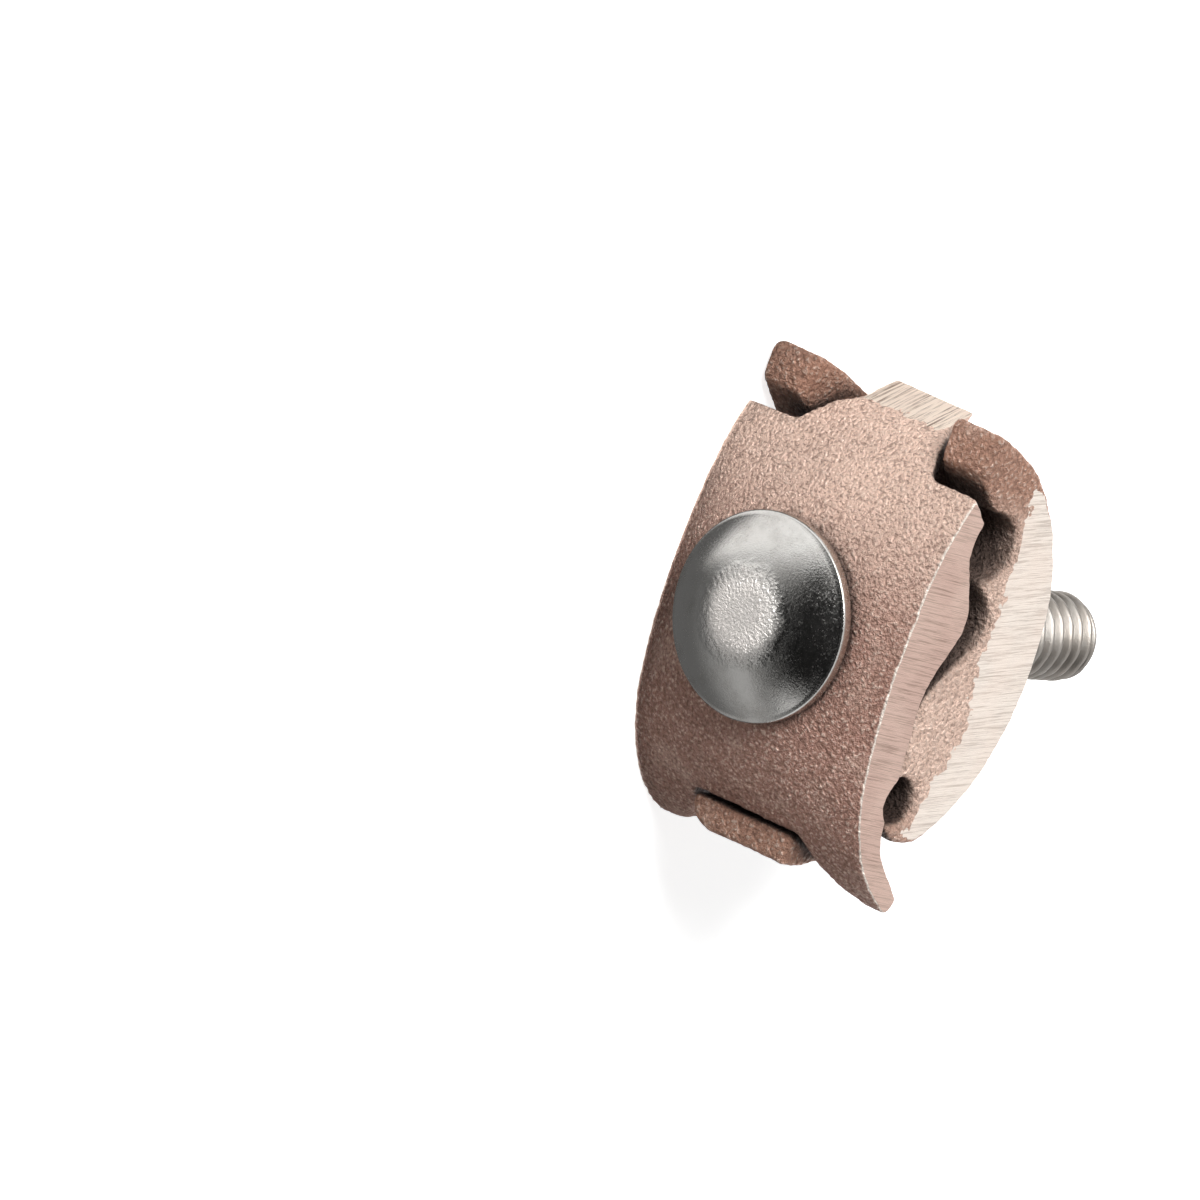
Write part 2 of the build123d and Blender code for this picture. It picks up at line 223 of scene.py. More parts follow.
class BoltSettings(bpy.types.PropertyGroup):
    """Sizes and colours of the bolt, the washer and the nut"""

    rim: length("Rim", "Height of the head's straight rim", 1.2 * MM)
    rim_radius: length("Rim radius", "Rounding of the rim's edges", 0.22 * MM)
    spot: length("Struck spot", "Radius of the struck spot in the middle of the head", 3.3 * MM)
    spot_depth: length("Spot depth", "How deep the struck spot is", 0.1 * MM)
    neck: length("Neck width", "Width of the square neck", 8.1 * MM)
    neck_depth: length("Neck depth", "Depth of the square neck", 5 * MM)
    radius: length("Thread radius", "Outer radius of the thread", 3.97 * MM)
    pitch: length("Pitch", "Distance from crest to crest", 1.411 * MM)
    thread_depth: length("Thread depth", "Depth of the thread's grooves", 0.84 * MM)
    thread_start: length("Thread start", "Depth at which the thread starts", 7 * MM)
    chamfer: length("Chamfer", "Chamfer of the bolt's end", 0.9 * MM)
    nut_width: length("Nut width", "Width across the nut's flats", 12.7 * MM)
    nut_turn: angle("Nut turn", "Angle of the nut's first corner", 75)
    thread_play: length("Thread play", "Room between the nut's thread and the bolt's", 0.1 * MM)
    segments: count("Segments", "Steps round the bolt and the nut", 96, least=24)
    rings_per_turn: count("Rings per turn", "Rings in one turn of the thread", 10, least=6)
    steel: colour("Steel", "The plated steel", (0.51, 0.50, 0.48))
    thread_steel: colour("Thread steel", "Duller, on the thread and the nut", (0.28, 0.255, 0.23))
    steel_dark: colour("Steel stains", "Dull stains in the plating", (0.36, 0.345, 0.325))
    steel_pale: colour("Struck steel", "Rough metal in the struck spot", (0.84, 0.79, 0.75))
    head_roughness: share("Head roughness", "Roughness of the head's dome", 0.13)
    thread_roughness: share("Thread roughness", "Roughness of the thread", 0.42)


class StageSettings(bpy.types.PropertyGroup):
    """The camera, the floor, the cards and the light"""

    distance: length("Camera distance", "From the camera to the bolt's head", 1174.7 * MM)
    lens: number("Focal length", "The camera's focal length in millimetres", 413.9)
    key: number("Key light", "Power of the key light", 8.2, unit="POWER")
    side: number("Side light", "Power of the softer light at the side", 1.3, unit="POWER")
    fill: share("Fill light", "Brightness of the studio round the object", 0.18)
    floor_lift: share("Floor lift", "Brightness added where the floor is seen directly", 0.76)
    floor: colour("Floor", "The pale floor", (0.9, 0.9, 0.9))
    card: colour("Card", "The dark card that the bolt's head mirrors", (0.012, 0.012, 0.012))
    card_toward: FloatVectorProperty(
        name="Card direction",
        description="Direction from the clamp to the dark card",
        default=(0.0, -0.85, 0.46),
    )
    card_size: sides("Card size", "Size of the dark card", (1.9, 1.15))
    card_distance: length("Card distance", "From the clamp to the dark card", 0.9)
    low_card_size: sides("Low card size", "Size of the low card", (1.6, 1.3))
    low_card_start: length("Low card start", "From the head's seat to its back edge", 40 * MM)
    low_card_height: length("Low card height", "Height of the low card over the floor", 0.4 * MM)


def shader_node(tree, kind, **values):
    """Adds a node. Values set its properties, or its inputs where the name is an input's."""
    made = tree.nodes.new(kind)
    for name, value in values.items():
        if hasattr(made, name):
            setattr(made, name, value)
        else:
            made.inputs[name].default_value = value
    return made


def new_group(name, inputs, outputs):
    """A node group with named sockets: {name: (type, default)} in, names of values out.

    Returns its tree, the sockets that bring the inputs in, and those that take the outputs.
    """
    tree = bpy.data.node_groups.new(name, "ShaderNodeTree")
    for socket, (kind, default) in inputs.items():
        made = tree.interface.new_socket(name=socket, in_out="INPUT", socket_type=kind)
        made.default_value = default
    for socket in outputs:
        tree.interface.new_socket(name=socket, in_out="OUTPUT", socket_type="NodeSocketFloat")
    given = tree.nodes.new("NodeGroupInput")
    out = tree.nodes.new("NodeGroupOutput")
    return tree, given.outputs, out.inputs


def object_place(tree):
    """The socket of the Object coordinates."""
    return tree.nodes.new("ShaderNodeTexCoord").outputs["Object"]


def split_place(tree, place):
    """The sockets X, Y and Z of a place."""
    split = tree.nodes.new("ShaderNodeSeparateXYZ")
    tree.links.new(place, split.inputs["Vector"])
    return split.outputs


def math_node(tree, operation, first, second=None):
    """A Math node on values or sockets. Returns its output socket."""
    made = shader_node(tree, "ShaderNodeMath", operation=operation)
    for socket, value in zip(made.inputs, (first, second)):
        if value is None:
            continue
        if isinstance(value, (int, float)):
            socket.default_value = value
        else:
            tree.links.new(value, socket)
    return made.outputs[0]


def product(tree, first, second):
    """The product of two values or sockets."""
    return math_node(tree, "MULTIPLY", first, second)


def total(tree, first, *others):
    """The sum of values or sockets."""
    for other in others:
        first = math_node(tree, "ADD", first, other)
    return first


def mapped(tree, value, low, high, to_low=0.0, to_high=1.0):
    """A smooth, clamped Map Range from low..high to to_low..to_high. Returns its output socket."""
    made = shader_node(tree, "ShaderNodeMapRange", interpolation_type="SMOOTHSTEP")
    ends = {"From Min": low, "From Max": high, "To Min": to_low, "To Max": to_high}
    for socket, end in ends.items():
        made.inputs[socket].default_value = end
    tree.links.new(value, made.inputs["Value"])
    return made.outputs["Result"]


def mixed(tree, factor, first, second):
    """A colour mix. The colours are sockets or colours. Returns the result's socket."""
    made = shader_node(tree, "ShaderNodeMix", data_type="RGBA")
    for socket, value in zip(MIX_INPUTS, (factor, first, second)):
        if isinstance(value, bpy.types.NodeSocket):
            tree.links.new(value, made.inputs[socket])
        else:
            made.inputs[socket].default_value = (*value, 1.0)
    return made.outputs[MIX_RESULT]


def noise_value(tree, vector, size, detail=2.0, roughness=0.5):
    """A noise texture with features of that size in metres. Returns its value's socket."""
    made = shader_node(
        tree, "ShaderNodeTexNoise", Scale=1 / size, Detail=detail, Roughness=roughness
    )
    tree.links.new(vector, made.inputs["Vector"])
    return made.outputs["Fac"]


def grain_group():
    """Sand grain: a height for bumps, the hollows and the tops of the grains, and slow patches."""
    tree, given, out = new_group(
        "Sand grain",
        {"Grain": ("NodeSocketFloat", 0.4 * MM)},
        ("Height", "Hollows", "Tops", "Patches"),
    )
    place = object_place(tree)
    per_metre = math_node(tree, "DIVIDE", 1.0, given["Grain"])
    lumps = shader_node(tree, "ShaderNodeTexNoise", Detail=3.0, Roughness=0.55, Distortion=0.7)
    tree.links.new(place, lumps.inputs["Vector"])
    tree.links.new(per_metre, lumps.inputs["Scale"])
    fine = noise_value(tree, place, FINE_SIZE, 2.0, 0.6)
    cells = tree.nodes.new("ShaderNodeTexVoronoi")
    tree.links.new(place, cells.inputs["Vector"])
    tree.links.new(product(tree, per_metre, CELL_SCALE), cells.inputs["Scale"])
    domes = math_node(tree, "SUBTRACT", 1.0, cells.outputs["Distance"])
    height = total(
        tree,
        product(tree, lumps.outputs["Fac"], LUMP_SHARE),
        product(tree, domes, CELL_SHARE),
        product(tree, fine, FINE_SHARE),
    )
    patches = noise_value(tree, place, PATCH_SIZE, 3.0, 0.6)
    tree.links.new(height, out["Height"])
    tree.links.new(mapped(tree, height, *HOLLOW_RANGE), out["Hollows"])
    tree.links.new(mapped(tree, height, *TOP_RANGE), out["Tops"])
    tree.links.new(mapped(tree, patches, *PATCH_RANGE), out["Patches"])


def scratch_group():
    """Grinding lines that run one way: their height, the deeper ones, and slow clouds."""
    tree, given, out = new_group(
        "Grinding lines",
        {
            "Spacing": ("NodeSocketFloat", 0.22 * MM),
            "Length": ("NodeSocketFloat", 6 * MM),
            "Turn": ("NodeSocketVector", (0.0, 0.0, 0.0)),
        },
        ("Height", "Lines", "Cloud"),
    )
    place = object_place(tree)
    turned = tree.nodes.new("ShaderNodeMapping")
    tree.links.new(place, turned.inputs["Vector"])
    tree.links.new(given["Turn"], turned.inputs["Rotation"])
    across = math_node(tree, "DIVIDE", 1.0, given["Spacing"])
    along = math_node(tree, "DIVIDE", 1.0, given["Length"])
    stretch = tree.nodes.new("ShaderNodeCombineXYZ")
    for socket, value in zip(stretch.inputs, (across, along, across)):
        tree.links.new(value, socket)
    scaled = shader_node(tree, "ShaderNodeVectorMath", operation="MULTIPLY")
    tree.links.new(turned.outputs["Vector"], scaled.inputs[0])
    tree.links.new(stretch.outputs["Vector"], scaled.inputs[1])
    lines = noise_value(tree, scaled.outputs["Vector"], 1.0, 4.0, 0.75)
    cloud = noise_value(tree, place, CLOUD_SIZE)
    tree.links.new(lines, out["Height"])
    tree.links.new(mapped(tree, lines, *LINE_RANGE), out["Lines"])
    tree.links.new(mapped(tree, cloud, *CLOUD_RANGE), out["Cloud"])


def new_material(name):
    """An empty material. Returns it, its tree and its Principled BSDF."""
    made = bpy.data.materials.new(name)
    made.use_nodes = True
    tree = made.node_tree
    return made, tree, tree.nodes["Principled BSDF"]


def bump(tree, shader, height, distance, under=None):
    """Feeds a height in units of distance to the shader's normal. Returns the Bump node."""
    made = shader_node(tree, "ShaderNodeBump", Strength=1.0, Distance=distance)
    tree.links.new(height, made.inputs["Height"])
    if under is not None:
        tree.links.new(under.outputs["Normal"], made.inputs["Normal"])
    tree.links.new(made.outputs["Normal"], shader.inputs["Normal"])
    return made


def sandy_material(
    settings, name, end_colour, reach, corner, both_ends, burr, grain_size, relief, hollow
):
    """Sand-cast copper alloy, grainy and dark between the grains.

    Over a reach along the jaw from the bolt, towards one end or both, it turns to the end colour:
    painted shade on the front jaw, the darker fingers and hook on the rear jaw. Painted shade
    darkens a place where walls stand nearer than corner. A burr is a bright edge at the ground sides.
    """
    _, tree, shader = new_material(name)
    place = object_place(tree)
    split = split_place(tree, place)
    along = math_node(tree, "SUBTRACT", split["X"], BOLT_X)
    if both_ends:
        along = math_node(tree, "ABSOLUTE", along)
    # Painted shade on the front jaw: the skin darkens towards its lobes, broken by random patches. On
    # the rear jaw the fingers and hook darken the same way.
    worn = mapped(tree, noise_value(tree, place, UNEVEN_SIZE), *UNEVEN_RANGE)
    toward_end = product(tree, mapped(tree, along, *reach), worn)
    base = mixed(tree, toward_end, settings.skin, end_colour)
    grain = shader_node(
        tree, "ShaderNodeGroup", node_tree=bpy.data.node_groups["Sand grain"], Grain=grain_size
    ).outputs
    for mask, amount, paint in (
        ("Hollows", hollow, settings.skin_dark),
        ("Tops", TOP_SHARE, settings.skin_pale),
        ("Patches", STAIN_SHARE, settings.skin_dark),
    ):
        base = mixed(tree, product(tree, grain[mask], amount), base, paint)
    # Painted shade: the skin turns dark where walls stand near, in corners, gaps and round the bolt's
    # head.
    openness = shader_node(
        tree, "ShaderNodeAmbientOcclusion", Distance=corner, samples=OPEN_SAMPLES
    ).outputs["AO"]
    over_floor = mapped(tree, split["Z"], *OVER_FLOOR_RANGE)
    shaded_corners = product(tree, mapped(tree, openness, *OPEN_RANGE), over_floor)
    base = mixed(tree, shaded_corners, base, settings.corner_shade)
    if burr:
        from_middle = math_node(tree, "ABSOLUTE", math_node(tree, "SUBTRACT", split["Z"], BOLT_Z))
        ragged = product(tree, noise_value(tree, place, BURR_SIZE), BURR_RAGGED)
        outward = total(tree, from_middle, ragged)
        edge = mapped(tree, outward, BOLT_Z - BURR_IN, BOLT_Z + BURR_OUT)
        base = mixed(tree, edge, base, settings.ground)
    tree.links.new(base, shader.inputs["Base Color"])
    coarse = settings.skin_roughness + SKIN_COARSER
    smooth = settings.skin_roughness - SKIN_SMOOTHER
    rough = mapped(tree, grain["Height"], *SKIN_RANGE, coarse, smooth)
    tree.links.new(rough, shader.inputs["Roughness"])
    shader.inputs["Metallic"].default_value = settings.skin_metal
    bump(tree, shader, grain["Height"], relief)


def ground_material(settings, name, metal, turn, spacing, depth):
    """Ground copper alloy: fine lines that run one way, the deeper ones darker by depth."""
    _, tree, shader = new_material(name)
    lines = shader_node(
        tree, "ShaderNodeGroup", node_tree=bpy.data.node_groups["Grinding lines"], Spacing=spacing
    )
    lines.inputs["Turn"].default_value = (0.0, 0.0, turn)
    lines = lines.outputs
    base = mixed(tree, product(tree, lines["Lines"], depth), metal, settings.ground_line)
    pink = product(tree, lines["Cloud"], CLOUD_SHARE)
    base = mixed(tree, pink, base, settings.skin_pale)
    tree.links.new(base, shader.inputs["Base Color"])
    coarse = settings.ground_roughness + GROUND_COARSER
    smooth = settings.ground_roughness - GROUND_SMOOTHER
    rough = mapped(tree, lines["Height"], *GROUND_RANGE, coarse, smooth)
    tree.links.new(rough, shader.inputs["Roughness"])
    shader.inputs["Metallic"].default_value = settings.ground_metal
    bump(tree, shader, lines["Height"], LINE_BUMP)


def struck_spot(settings, tree, shader, place, base, rough, scratches):
    """The head's struck spot: rough and pale, with creases that run outwards round it.

    Returns the new base colour and roughness.
    """
    centred = shader_node(tree, "ShaderNodeMapping", Location=(-BOLT_X, 0.0, -BOLT_Z))
    tree.links.new(place, centred.inputs["Vector"])
    split = split_place(tree, centred.outputs["Vector"])
    square = [math_node(tree, "POWER", split[axis], 2.0) for axis in ("X", "Z")]
    radius = math_node(tree, "SQRT", total(tree, *square))
    ring = tree.nodes.new("ShaderNodeCombineXYZ")
    for axis in ("X", "Z"):
        tree.links.new(math_node(tree, "DIVIDE", split[axis], radius), ring.inputs[axis])
    tree.links.new(math_node(tree, "DIVIDE", radius, CREASE_LENGTH), ring.inputs["Y"])
    creases = noise_value(tree, ring.outputs["Vector"], CREASE_SIZE, 3.0, 0.6)
    dents = noise_value(tree, place, DENT_SIZE, 3.0, 0.6)
    ragged = product(tree, noise_value(tree, place, SPOT_RAGGED), SPOT_RAGGED)
    edge = total(tree, radius, ragged)
    in_spot, outside, inside = (
        mapped(tree, edge, settings.spot * start, settings.spot * full)
        for start, full in (SPOT_REACH, CREASES_OUTSIDE, CREASES_INSIDE)
    )
    marks = total(
        tree,
        product(tree, creases, product(tree, outside, inside)),
        product(tree, dents, product(tree, in_spot, DENT_SHARE)),
    )
    bump(tree, shader, marks, SPOT_BUMP, under=scratches)
    metal = mapped(tree, in_spot, *SPOT_METAL_RANGE)
    tree.links.new(metal, shader.inputs["Metallic"])
    flecks = mapped(tree, noise_value(tree, place, FLECK_SIZE, 2.0, 0.6), *FLECK_RANGE)
    base = mixed(tree, product(tree, in_spot, SPOT_SHARE), base, settings.steel_pale)
    return base, total(tree, rough, product(tree, in_spot, SPOT_ROUGHER), flecks)


def steel_material(settings, name, steel, roughness, head):
    """Plated steel with stains and fine scratches. The head's also has the struck spot."""
    _, tree, shader = new_material(name)
    shader.inputs["Metallic"].default_value = 1.0
    place = object_place(tree)
    cloud = noise_value(tree, place, STAIN_SIZE, 4.0, 0.6)
    fine = noise_value(tree, place, SCRATCH_SIZE, 3.0, 0.65)
    base = mixed(tree, mapped(tree, cloud, *STAIN_RANGE), steel, settings.steel_dark)
    rough = total(tree, mapped(tree, cloud, *DULL_RANGE), roughness)
    scratches = bump(tree, shader, fine, SCRATCH_BUMP)
    if head:
        base, rough = struck_spot(settings, tree, shader, place, base, rough, scratches)
    tree.links.new(base, shader.inputs["Base Color"])
    tree.links.new(rough, shader.inputs["Roughness"])


def object_of(bm, name, materials):
    """Makes a finished mesh object of a bmesh, at the origin."""
    mesh = bpy.data.meshes.new(name)
    bm.to_mesh(mesh)
    bm.free()
    made = bpy.data.objects.new(name, mesh)
    bpy.context.scene.collection.objects.link(made)
    for material in materials:
        mesh.materials.append(material)
    return made


def merged_copy(node):
    """A bmesh of a CAD node's mesh with its loose triangles joined."""
    bm = bmesh.new()
    bm.from_mesh(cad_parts[node].data)
    bmesh.ops.remove_doubles(bm, verts=bm.verts, dist=MERGE_DISTANCE)
    return bm


def remeshed(bm, cell):
    """The same shape with even cells, as a new bmesh."""
    mesh = bpy.data.meshes.new("cells")
    bm.to_mesh(mesh)
    bm.free()
    holder = bpy.data.objects.new("cells", mesh)
    bpy.context.scene.collection.objects.link(holder)
    cells = holder.modifiers.new("Cells", "REMESH")
    cells.mode = "VOXEL"
    cells.voxel_size = cell
    depsgraph = bpy.context.evaluated_depsgraph_get()
    made = bmesh.new()
    made.from_mesh(holder.evaluated_get(depsgraph).to_mesh())
    bpy.data.objects.remove(holder)
    bpy.data.meshes.remove(mesh)
    return made


def grind(bm, point, normal, material):
    """Cuts away all that stands beyond a plane, and closes the cut with a flat ground face."""
    geometry = bm.verts[:] + bm.edges[:] + bm.faces[:]
    cut = bmesh.ops.bisect_plane(
        bm, geom=geometry, dist=MERGE_DISTANCE, plane_co=point, plane_no=normal, clear_outer=True
    )
    rim = [e for e in cut["geom_cut"] if isinstance(e, bmesh.types.BMEdge)]
    filled = bmesh.ops.triangle_fill(
        bm, edges=rim, use_beauty=True, use_dissolve=False, normal=normal
    )
    for face in filled["geom"]:
        if isinstance(face, bmesh.types.BMFace):
            face.material_index = material
            face.normal_update()
            if face.normal.dot(normal) < 0:
                face.normal_flip()
    for edge in rim:
        if edge.is_valid:
            edge.smooth = False


def roughen(settings, bm):
    """Gives a casting the lumps and the slow waves of its sand mould."""
    bm.normal_update()
    shifts = []
    for vert in bm.verts:
        second = noise.noise(vert.co / (settings.lump * SECOND_LUMP_SIZE))
        lumps = noise.noise(vert.co / settings.lump) + SECOND_LUMP_HEIGHT * second
        waves = noise.noise(vert.co / settings.swell)
        height = lumps * settings.lump_height + waves * settings.swell_height
        shifts.append(vert.normal * height)
    for vert, shift in zip(bm.verts, shifts):
        vert.co += shift


def casting(settings, node, smoothing, stock, nose=False):
    """A cast jaw in even cells with soft edges and a sandy skin, ground flat at its sides.

    stock(place) is the metal to grind off there. Where it is negative, the cast skin stays.
    """
    bm = remeshed(merged_copy(node), settings.cell)
    low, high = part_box(node)
    bm.normal_update()
    for vert in bm.verts:
        for side, outward in ((low.z, -1.0), (high.z, 1.0)):
            at_side = abs(vert.co.z - side) < settings.draft_reach
            if at_side and vert.normal.z * outward > FACING:
                vert.co.z = side + outward * stock(vert.co)
    if nose:
        turn = settings.nose_slope
        nose_normal = Vector((-math.cos(turn), -math.sin(turn), 0.0))
        nose_point = Vector((BOLT_X + settings.nose_x, SEAT_Y + settings.nose_depth, BOLT_Z))
        band = settings.cell * NOSE_BAND
        for vert in bm.verts:
            place = vert.co - nose_point
            if abs(place.dot(nose_normal)) < band and vert.co.x < nose_point.x + band:
                depth = place.y - settings.nose_border
                vert.co += nose_normal * depth * settings.nose_stock
    all_ways = {"use_axis_x": True, "use_axis_y": True, "use_axis_z": True}
    for _ in range(smoothing):
        bmesh.ops.smooth_vert(bm, verts=bm.verts, factor=SMOOTH_FACTOR, **all_ways)
    roughen(settings, bm)
    for face in bm.faces:
        face.smooth = True
        face.material_index = SANDY
    grind(bm, Vector((0, 0, low.z)), Vector((0, 0, -1)), GROUND)
    grind(bm, Vector((0, 0, high.z)), Vector((0, 0, 1)), GROUND)
    if nose:
        grind(bm, nose_point, nose_normal, NOSE)
    return bm


class CLAMP_OT_front_jaw(bpy.types.Operator):
    """Makes the front jaw: arched, sandy, with ground sides and a ground nose"""

    bl_idname = "clamp.front_jaw"
    bl_label = "Front jaw"

    def execute(self, context):
        settings = context.scene.clamp_casting
        bm = casting(
            settings, "front_jaw", settings.smoothing, lambda place: settings.stock, nose=True
        )
        materials = [bpy.data.materials[name] for name in ("Front skin", "Front side", "Nose")]
        jaw = object_of(bm, "front_jaw_skin", materials)
        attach(jaw, "front")
        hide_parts("front_jaw")
        return {"FINISHED"}


class CLAMP_OT_rear_jaw(bpy.types.Operator):
    """Makes the rear jaw: its sides are ground only at the back, up to a ragged border"""

    bl_idname = "clamp.rear_jaw"
    bl_label = "Rear jaw"

    def execute(self, context):
        settings = context.scene.clamp_casting
        start = SEAT_Y + settings.ground_depth

        def stock(place):
            along = place.x - BOLT_X
            sag = settings.ground_sag * max(0.0, along) ** 2
            climb = settings.ground_climb * min(0.0, along)
            border = start - sag + climb
            return (place.y - border) * settings.stock_slope

        bm = casting(settings, "rear_jaw", settings.rear_smoothing, stock)
        materials = [bpy.data.materials[name] for name in ("Rear skin", "Rear side")]
        jaw = object_of(bm, "rear_jaw_skin", materials)
        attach(jaw, "rear")
        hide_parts("rear_jaw")
        return {"FINISHED"}


def spun(profile, segments):
    """A bmesh of a profile of (radius, depth) pairs, spun a full turn about the bolt's axis."""
    bm = bmesh.new()
    verts = [bm.verts.new((BOLT_X + radius, SEAT_Y + depth, BOLT_Z)) for radius, depth in profile]
    edges = [bm.edges.new(pair) for pair in zip(verts, verts[1:])]
    bmesh.ops.spin(
        bm,
        geom=verts + edges,
        cent=(BOLT_X, 0, BOLT_Z),
        axis=(0, 1, 0),
        angle=math.tau,
        steps=segments,
        use_merge=True,
    )
    bmesh.ops.remove_doubles(bm, verts=bm.verts, dist=MERGE_DISTANCE)
    bmesh.ops.recalc_face_normals(bm, faces=bm.faces)
    return bm


def polar(place):
    """(radius, turn, depth) of a place about the bolt."""
    x, z = place.x - BOLT_X, place.z - BOLT_Z
    return math.hypot(x, z), math.atan2(-z, x), place.y - SEAT_Y


def set_radius(vert, radius):
    """Moves a vertex to that distance from the bolt's axis."""
    x, z = vert.co.x - BOLT_X, vert.co.z - BOLT_Z
    now = math.hypot(x, z)
    vert.co.x = BOLT_X + x * radius / now
    vert.co.z = BOLT_Z + z * radius / now


def limited(value):
    """The value, kept between 0 and 1."""
    return min(1.0, max(0.0, value))


def thread_drop(settings, turn, depth):
    """How far a right-hand thread lies under its crest there, in metres."""
    phase = (depth / settings.pitch + turn / math.tau) % 1.0
    ramp = abs(phase - 0.5) * 2
    flank = limited((ramp - CREST_SHARE) / FLANK_SHARE)
    return (1 - flank**ROOT_ROUNDING) * settings.thread_depth


def polygon_radius(turn, corners, inner, first):
    """Distance from the axis to a regular polygon's side. Its first corner is at that turn."""
    step = math.tau / corners
    return inner / math.cos((turn - first) % step - step / 2)


def shaded(bm, crease):
    """Makes all faces smooth, and the edges that bend more than the crease sharp."""
    for face in bm.faces:
        face.smooth = True
    for edge in bm.edges:
        if edge.is_manifold and edge.calc_face_angle() > crease:
            edge.smooth = False


def head_profile(settings):
    """The head from the middle of its dome to its seat, as (radius, depth) pairs."""
    outer = (BOLT_HIGH.x - BOLT_LOW.x) / 2
    rim, rounding = settings.rim, settings.rim_radius
    profile = []
    for step in range(DOME_STEPS + 1):
        out = step / DOME_STEPS
        radius = (outer - rounding) * out
        rise = (HEAD_HEIGHT - rim) * (1 - out**DOME_CURVE)
        dent = settings.spot_depth * max(0.0, 1 - (radius / settings.spot) ** 2)
        profile.append((radius, -rim - rise + dent + rounding * RIM_LIFT * out))
    for step in range(1, RIM_STEPS + 1):
        turn = math.pi / 2 * step / RIM_STEPS
        depth = -rim + rounding * (1 + RIM_LIFT - math.cos(turn))
        profile.append((outer - rounding * (1 - math.sin(turn)), depth))
    for step in range(1, SEAT_STEPS + 1):
        turn = math.pi / 2 * step / SEAT_STEPS
        depth = -rounding * (1 - math.sin(turn))
        profile.append((outer - rounding * (1 - math.cos(turn)), depth))
    profile.append((settings.neck * SEAT_RING, 0.0))
    return profile


def shank_profile(settings, end):
    """The neck and the thread down to the bolt's end, still round and smooth."""
    neck_depth, radius = settings.neck_depth, settings.radius
    profile = [
        (settings.neck / 2, neck_depth * step / NECK_STEPS) for step in range(NECK_STEPS + 1)
    ]
    profile.append((radius, neck_depth + NECK_FOOT))
    depth = neck_depth + THREAD_CLEARANCE
    ring = settings.pitch / settings.rings_per_turn
    while depth < end - ring / 2:
        profile.append((radius, depth))
        depth += ring
    profile += [(radius, end - END_EDGE), (radius * END_RING, end), (0.0, end)]
    return profile


class CLAMP_OT_bolt(bpy.types.Operator):
    """Makes the carriage bolt: domed head with a struck spot, square neck and cut thread"""

    bl_idname = "clamp.bolt"
    bl_label = "Carriage bolt"

    def execute(self, context):
        settings = context.scene.clamp_bolt
        end = BOLT_HIGH.y - SEAT_Y
        half_neck = settings.neck / 2
        bm = spun(head_profile(settings) + shank_profile(settings, end), settings.segments)
        for vert in bm.verts:
            radius, turn, depth = polar(vert.co)
            at_neck = -NECK_ABOVE < depth <= settings.neck_depth + MERGE_DISTANCE
            into = depth - settings.thread_start + settings.pitch
            if at_neck and radius < settings.neck * NECK_WITHIN:
                side = polygon_radius(turn, 4, half_neck, math.pi / 4)
                set_radius(vert, min(half_neck * NECK_CORNER, side))
            elif into > 0 and radius > settings.radius * THREAD_WITHIN:
                drop = thread_drop(settings, turn, depth) * limited(into / settings.pitch)
                past = max(0.0, depth - end + settings.chamfer)
                cone = settings.radius - past * CHAMFER_SLOPE
                set_radius(vert, min(settings.radius - drop, cone))
        for face in bm.faces:
            at_head = face.calc_center_median().y < SEAT_Y - END_EDGE
            face.material_index = HEAD if at_head else THREAD
        shaded(bm, BOLT_CREASE)
        materials = [bpy.data.materials[name] for name in ("Plated head", "Plated thread")]
        bolt = object_of(bm, "bolt_steel", materials)
        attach(bolt, "front")
        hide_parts("carriage_bolt")
        return {"FINISHED"}


class CLAMP_OT_nut(bpy.types.Operator):
    """Makes the hex nut, chamfered, with its thread"""

    bl_idname = "clamp.nut"
    bl_label = "Hex nut"

    def execute(self, context):
        settings = context.scene.clamp_bolt
        first, last = NUT_LOW.y - SEAT_Y, NUT_HIGH.y - SEAT_Y
        height = last - first
        half = settings.nut_width / 2
        corner = half / math.cos(math.pi / 6)
        bore = settings.radius + settings.thread_play
        faces = (half * FACE_RING, bore + NUT_MOUTH)
        rings = max(2, round(height / settings.pitch * settings.rings_per_turn))
        profile = [(corner, first + height * step / NUT_STEPS) for step in range(NUT_STEPS + 1)]
        profile += [(radius, last) for radius in faces]
        profile += [(bore, first + height * step / rings) for step in range(rings, -1, -1)]
        profile += [(radius, first) for radius in reversed(faces)]
        profile.append(profile[0])
        bm = spun(profile, settings.segments)
        for vert in bm.verts:
            radius, turn, depth = polar(vert.co)
            from_face = min(depth - first, last - depth)
            if radius > corner * NUT_CORNER_WITHIN:
                cone = half * NUT_CHAMFER + from_face * NUT_CHAMFER_SLOPE
                set_radius(vert, min(polygon_radius(turn, 6, half, settings.nut_turn), cone))
            elif radius < bore + BORE_WITHIN:
                thread = bore - thread_drop(settings, turn, depth) * NUT_THREAD_SHARE
                mouth = bore + max(0.0, NUT_MOUTH - from_face) * MOUTH_SLOPE
                countersink = mouth - settings.thread_depth * NUT_THREAD_SHARE
                set_radius(vert, max(thread, countersink))
        shaded(bm, NUT_CREASE)
        nut = object_of(bm, "nut_steel", [bpy.data.materials["Plated thread"]])
        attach(nut, "nut")
        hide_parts("hex_nut")
        return {"FINISHED"}


class CLAMP_OT_washer(bpy.types.Operator):
    """Makes the split lock washer with softened edges"""

    bl_idname = "clamp.washer"
    bl_label = "Lock washer"

    def execute(self, context):
        bm = merged_copy("lock_washer")
        for face in bm.faces:
            face.smooth = True
        washer = object_of(bm, "washer_steel", [bpy.data.materials["Plated thread"]])
        soft = washer.modifiers.new("Soft edges", "BEVEL")
        soft.width = WASHER_EDGE
        soft.segments = WASHER_SEGMENTS
        soft.limit_method = "ANGLE"
        soft.angle_limit = WASHER_CREASE
        soft.harden_normals = True
        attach(washer, "rear")
        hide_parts("lock_washer")
        return {"FINISHED"}


